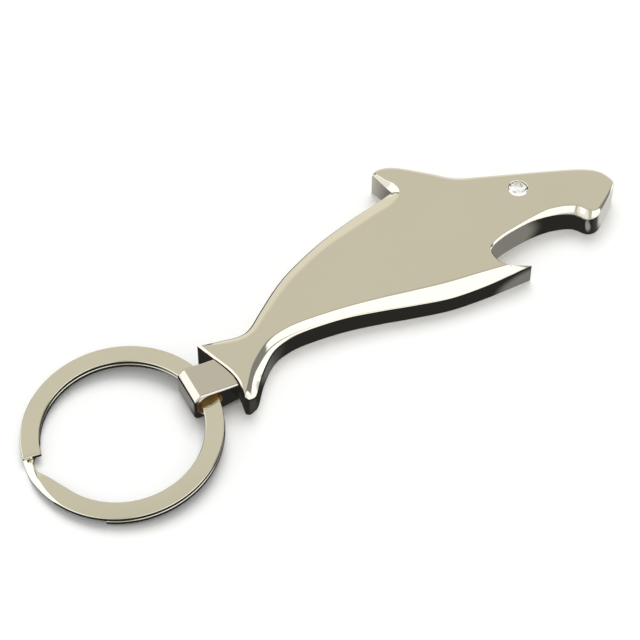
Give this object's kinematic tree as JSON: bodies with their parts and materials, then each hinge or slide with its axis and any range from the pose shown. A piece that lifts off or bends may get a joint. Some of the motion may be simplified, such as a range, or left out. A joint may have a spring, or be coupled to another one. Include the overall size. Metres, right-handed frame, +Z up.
{
  "type": "bottle opener",
  "caption": "Shark-shaped cast metal bottle opener whose open jaws form the cap notch, with a set eye stone, a link riveted into the tail and a flat split key ring.",
  "frame": {"origin": "middle of the plate's flat back, which lies on the table", "axes": "+X towards the nose, along the link's line; +Y towards the dorsal fin; +Z up, out of the top face"},
  "size_m": [0.1093, 0.0426, 0.0056],
  "materials": {
    "bright_nickel": "polished nickel plating on a zinc casting",
    "bright_nickel_link": "polished nickel plating on a zinc casting",
    "brass_rivet": "plain turned brass",
    "bright_nickel_steel": "polished nickel plating on spring steel",
    "clear_crystal": "clear faceted glass",
    "set_cement": "silvery hardened cement"
  },
  "bodies": {
    "opener": {"shark_body": "bright_nickel", "swivel_rivet": "brass_rivet", "eye_stone": "clear_crystal", "eye_cement": "set_cement"},
    "link": {"tail_link": "bright_nickel_link"},
    "ring": {"split_ring": "bright_nickel_steel"}
  },
  "joints": [
    {"name": "link_swivel", "type": "hinge", "parent": "opener", "child": "link", "pos_m": [-0.0418, -0.0078, 0.00272], "axis": [1, 0, 0], "range_deg": [-20, 20]},
    {"name": "ring_swing", "type": "hinge", "parent": "link", "child": "ring", "pos_m": [-0.0418, -0.0078, 0.00272], "axis": [0, 1, 0], "range_deg": [-114, 122]}
  ]
}
